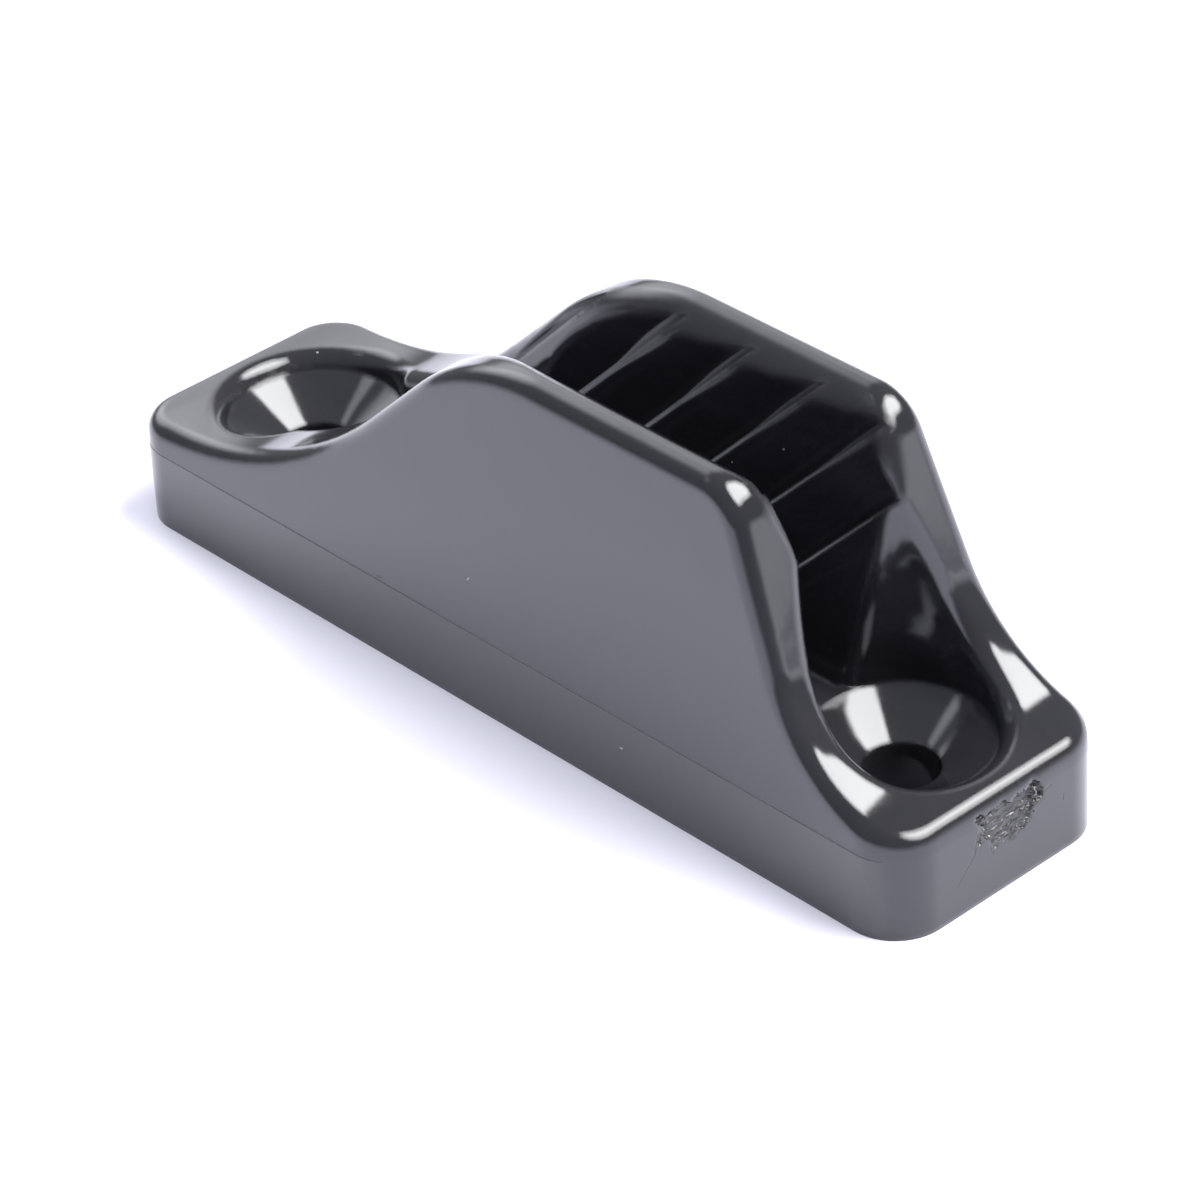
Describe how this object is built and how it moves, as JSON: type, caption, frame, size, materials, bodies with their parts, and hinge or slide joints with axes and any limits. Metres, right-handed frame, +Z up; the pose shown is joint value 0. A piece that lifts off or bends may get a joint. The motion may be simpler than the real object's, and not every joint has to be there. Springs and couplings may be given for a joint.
{
  "type": "jam cleat",
  "caption": "One-piece moulded jam cleat: a ridged V channel grips a thin rope, with a flared lead-in and a sunk screw hole at each end of the base.",
  "frame": {"origin": "centre of the base, on the mounting face", "axes": "+X along the rope towards the steep end with the mould gate mark, +Y across the channel, +Z up from the mounting face"},
  "size_m": [0.08, 0.021, 0.0283],
  "materials": {
    "black_nylon": "gloss"
  },
  "bodies": {
    "root": {"cleat_body": "black_nylon"}
  },
  "joints": []
}
